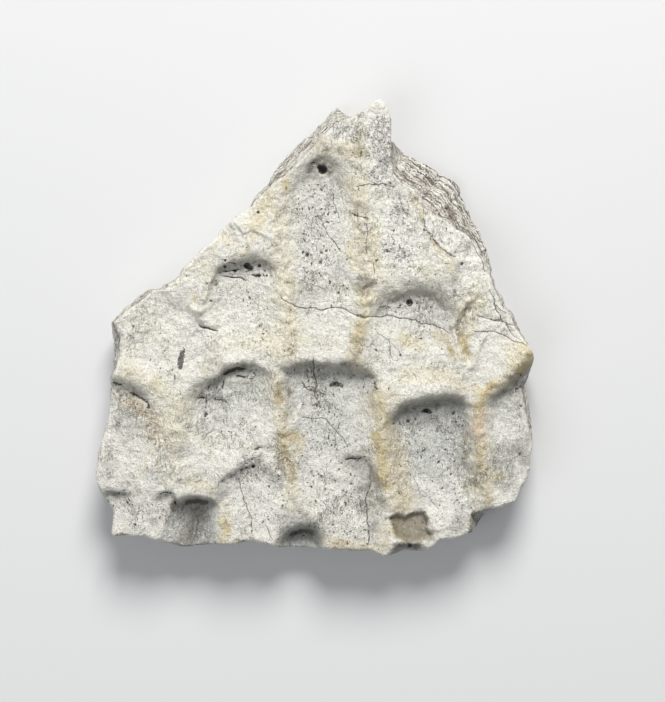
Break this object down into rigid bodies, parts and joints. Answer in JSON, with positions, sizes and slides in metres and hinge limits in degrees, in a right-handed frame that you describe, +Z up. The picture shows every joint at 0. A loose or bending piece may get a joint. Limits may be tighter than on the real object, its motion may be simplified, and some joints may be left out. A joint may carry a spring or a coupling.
{
  "type": "fossil amphibian scute",
  "caption": "Flat broken plate of fossil bone: rows of deep arched pits with blunt ribs between them on top, stepped broken edges and a flat underside.",
  "frame": {"origin": "under the middle of the plate's box, on the flat underside it rests on", "axes": "+Z up out of the pitted face, +Y along the plate to its pointed top, +X across it to the side with the raised knob"},
  "size_m": [0.0628, 0.0654, 0.0093],
  "materials": {
    "fossil_bone": "matte, chalky, with ochre stains along the ribs"
  },
  "bodies": {
    "root": {"scute": "fossil_bone"}
  },
  "joints": []
}
